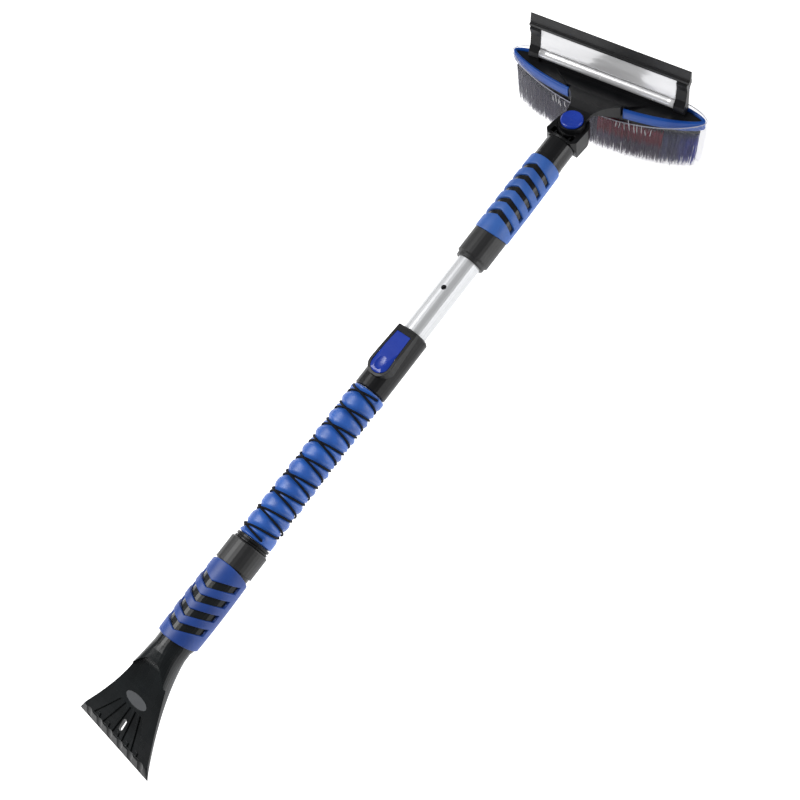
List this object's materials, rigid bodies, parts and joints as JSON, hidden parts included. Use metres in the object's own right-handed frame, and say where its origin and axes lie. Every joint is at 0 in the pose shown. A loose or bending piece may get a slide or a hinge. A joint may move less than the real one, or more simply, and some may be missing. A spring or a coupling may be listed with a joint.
{
  "type": "telescopic snow brush with ice scraper",
  "caption": "Telescopic pole with an ice scraper at one end and a swivelling snow brush with a squeegee at the other, with grips, a lock lever and a clear bristle guard.",
  "frame": {"origin": "middle of the underside of the whole tool's box, as it lies lever side up", "axes": "+X along the pole from the scraper's edge to the brush head, +Z towards the lock lever, +Y across the pole"},
  "size_m": [0.9588, 0.246, 0.1381],
  "materials": {
    "black_plastic": "satin moulded ABS",
    "grey_badge": "matte, blank",
    "deep_blue_grip": "soft-touch moulded elastomer",
    "bright_blue_grip": "soft-touch moulded elastomer",
    "blue_foam": "closed-cell foam with a smooth skin",
    "black_cord": "smooth elastic cord",
    "blue_plastic": "semi-gloss moulded plastic",
    "blue_rim": "satin moulded elastomer",
    "aluminium": "satin anodised",
    "steel": "plain",
    "grey_bristle": "cut filaments with pale split tips",
    "red_bristle": "cut filaments",
    "blue_bristle": "cut filaments",
    "clear_film": "thin clear flexible plastic",
    "mirror_film": "mirror-bright metallised plastic",
    "black_rubber": "matte wiper rubber"
  },
  "bodies": {
    "pole": {"pole_plug": "black_plastic", "pole_outer_tube": "aluminium", "foam_grip": "blue_foam", "grip_cord": "black_cord", "clamp_housing": "black_plastic", "lever_pin": "steel", "lever_spring": "steel"},
    "scraper": {"scraper_body": "black_plastic", "scraper_badge": "grey_badge", "lower_grip_sleeve": "deep_blue_grip", "lower_collar": "black_plastic"},
    "lever": {"lock_lever": "blue_plastic"},
    "lock_pin": {"lock_pin": "steel"},
    "upper_pole": {"pole_inner_tube": "aluminium", "guide_bush": "black_plastic", "upper_collar": "black_plastic", "upper_core": "black_plastic", "upper_grip_sleeve": "bright_blue_grip", "yoke": "black_plastic", "pivot_pin": "steel"},
    "head": {"head_body": "black_plastic", "head_rim": "blue_rim", "brush_base": "black_plastic", "bristles_left": "grey_bristle", "bristles_middle": "red_bristle", "bristles_right": "blue_bristle", "squeegee_holder": "black_plastic", "squeegee_strip": "mirror_film", "squeegee_panel": "mirror_film", "squeegee_rubber": "black_rubber", "squeegee_cap_left": "black_plastic", "squeegee_cap_right": "black_plastic", "button_spring": "steel"},
    "button": {"pivot_button": "blue_plastic"},
    "guard": {"bristle_guard": "clear_film"}
  },
  "joints": [
    {"name": "scraper_release", "type": "slide", "parent": "pole", "child": "scraper", "axis": [-1, 0, 0], "range_m": [0, 0.09]},
    {"name": "pole_extension", "type": "slide", "parent": "pole", "child": "upper_pole", "axis": [1, 0, 0], "range_m": [-0.081, 0.162]},
    {"name": "lever_press", "type": "hinge", "parent": "pole", "child": "lever", "pos_m": [0.0332, -0.01104, 0.11954], "axis": [0, -1, 0], "range_deg": [0, 5], "stiffness_Nm_per_rad": 1, "springref_deg": -2.86},
    {"name": "lock_pin_lift", "type": "slide", "parent": "pole", "child": "lock_pin", "axis": [0, 0, 1], "range_m": [0, 0.0016]},
    {"name": "head_swivel", "type": "hinge", "parent": "upper_pole", "child": "head", "pos_m": [0.3642, -0.01104, 0.09974], "axis": [0.2756, 0, 0.9613], "range_deg": [-98.9, 81.1]},
    {"name": "button_press", "type": "slide", "parent": "head", "child": "button", "axis": [-0.2756, 0, -0.9613], "range_m": [0, 0.003], "stiffness_N_per_m": 500, "springref_m": -0.001},
    {"name": "guard_release", "type": "slide", "parent": "head", "child": "guard", "axis": [-0.2756, 0, -0.9613], "range_m": [0, 0.09]}
  ],
  "couplings": [
    {"joint": "lock_pin_lift", "follows": "lever_press", "m_per_rad": 0.017}
  ]
}
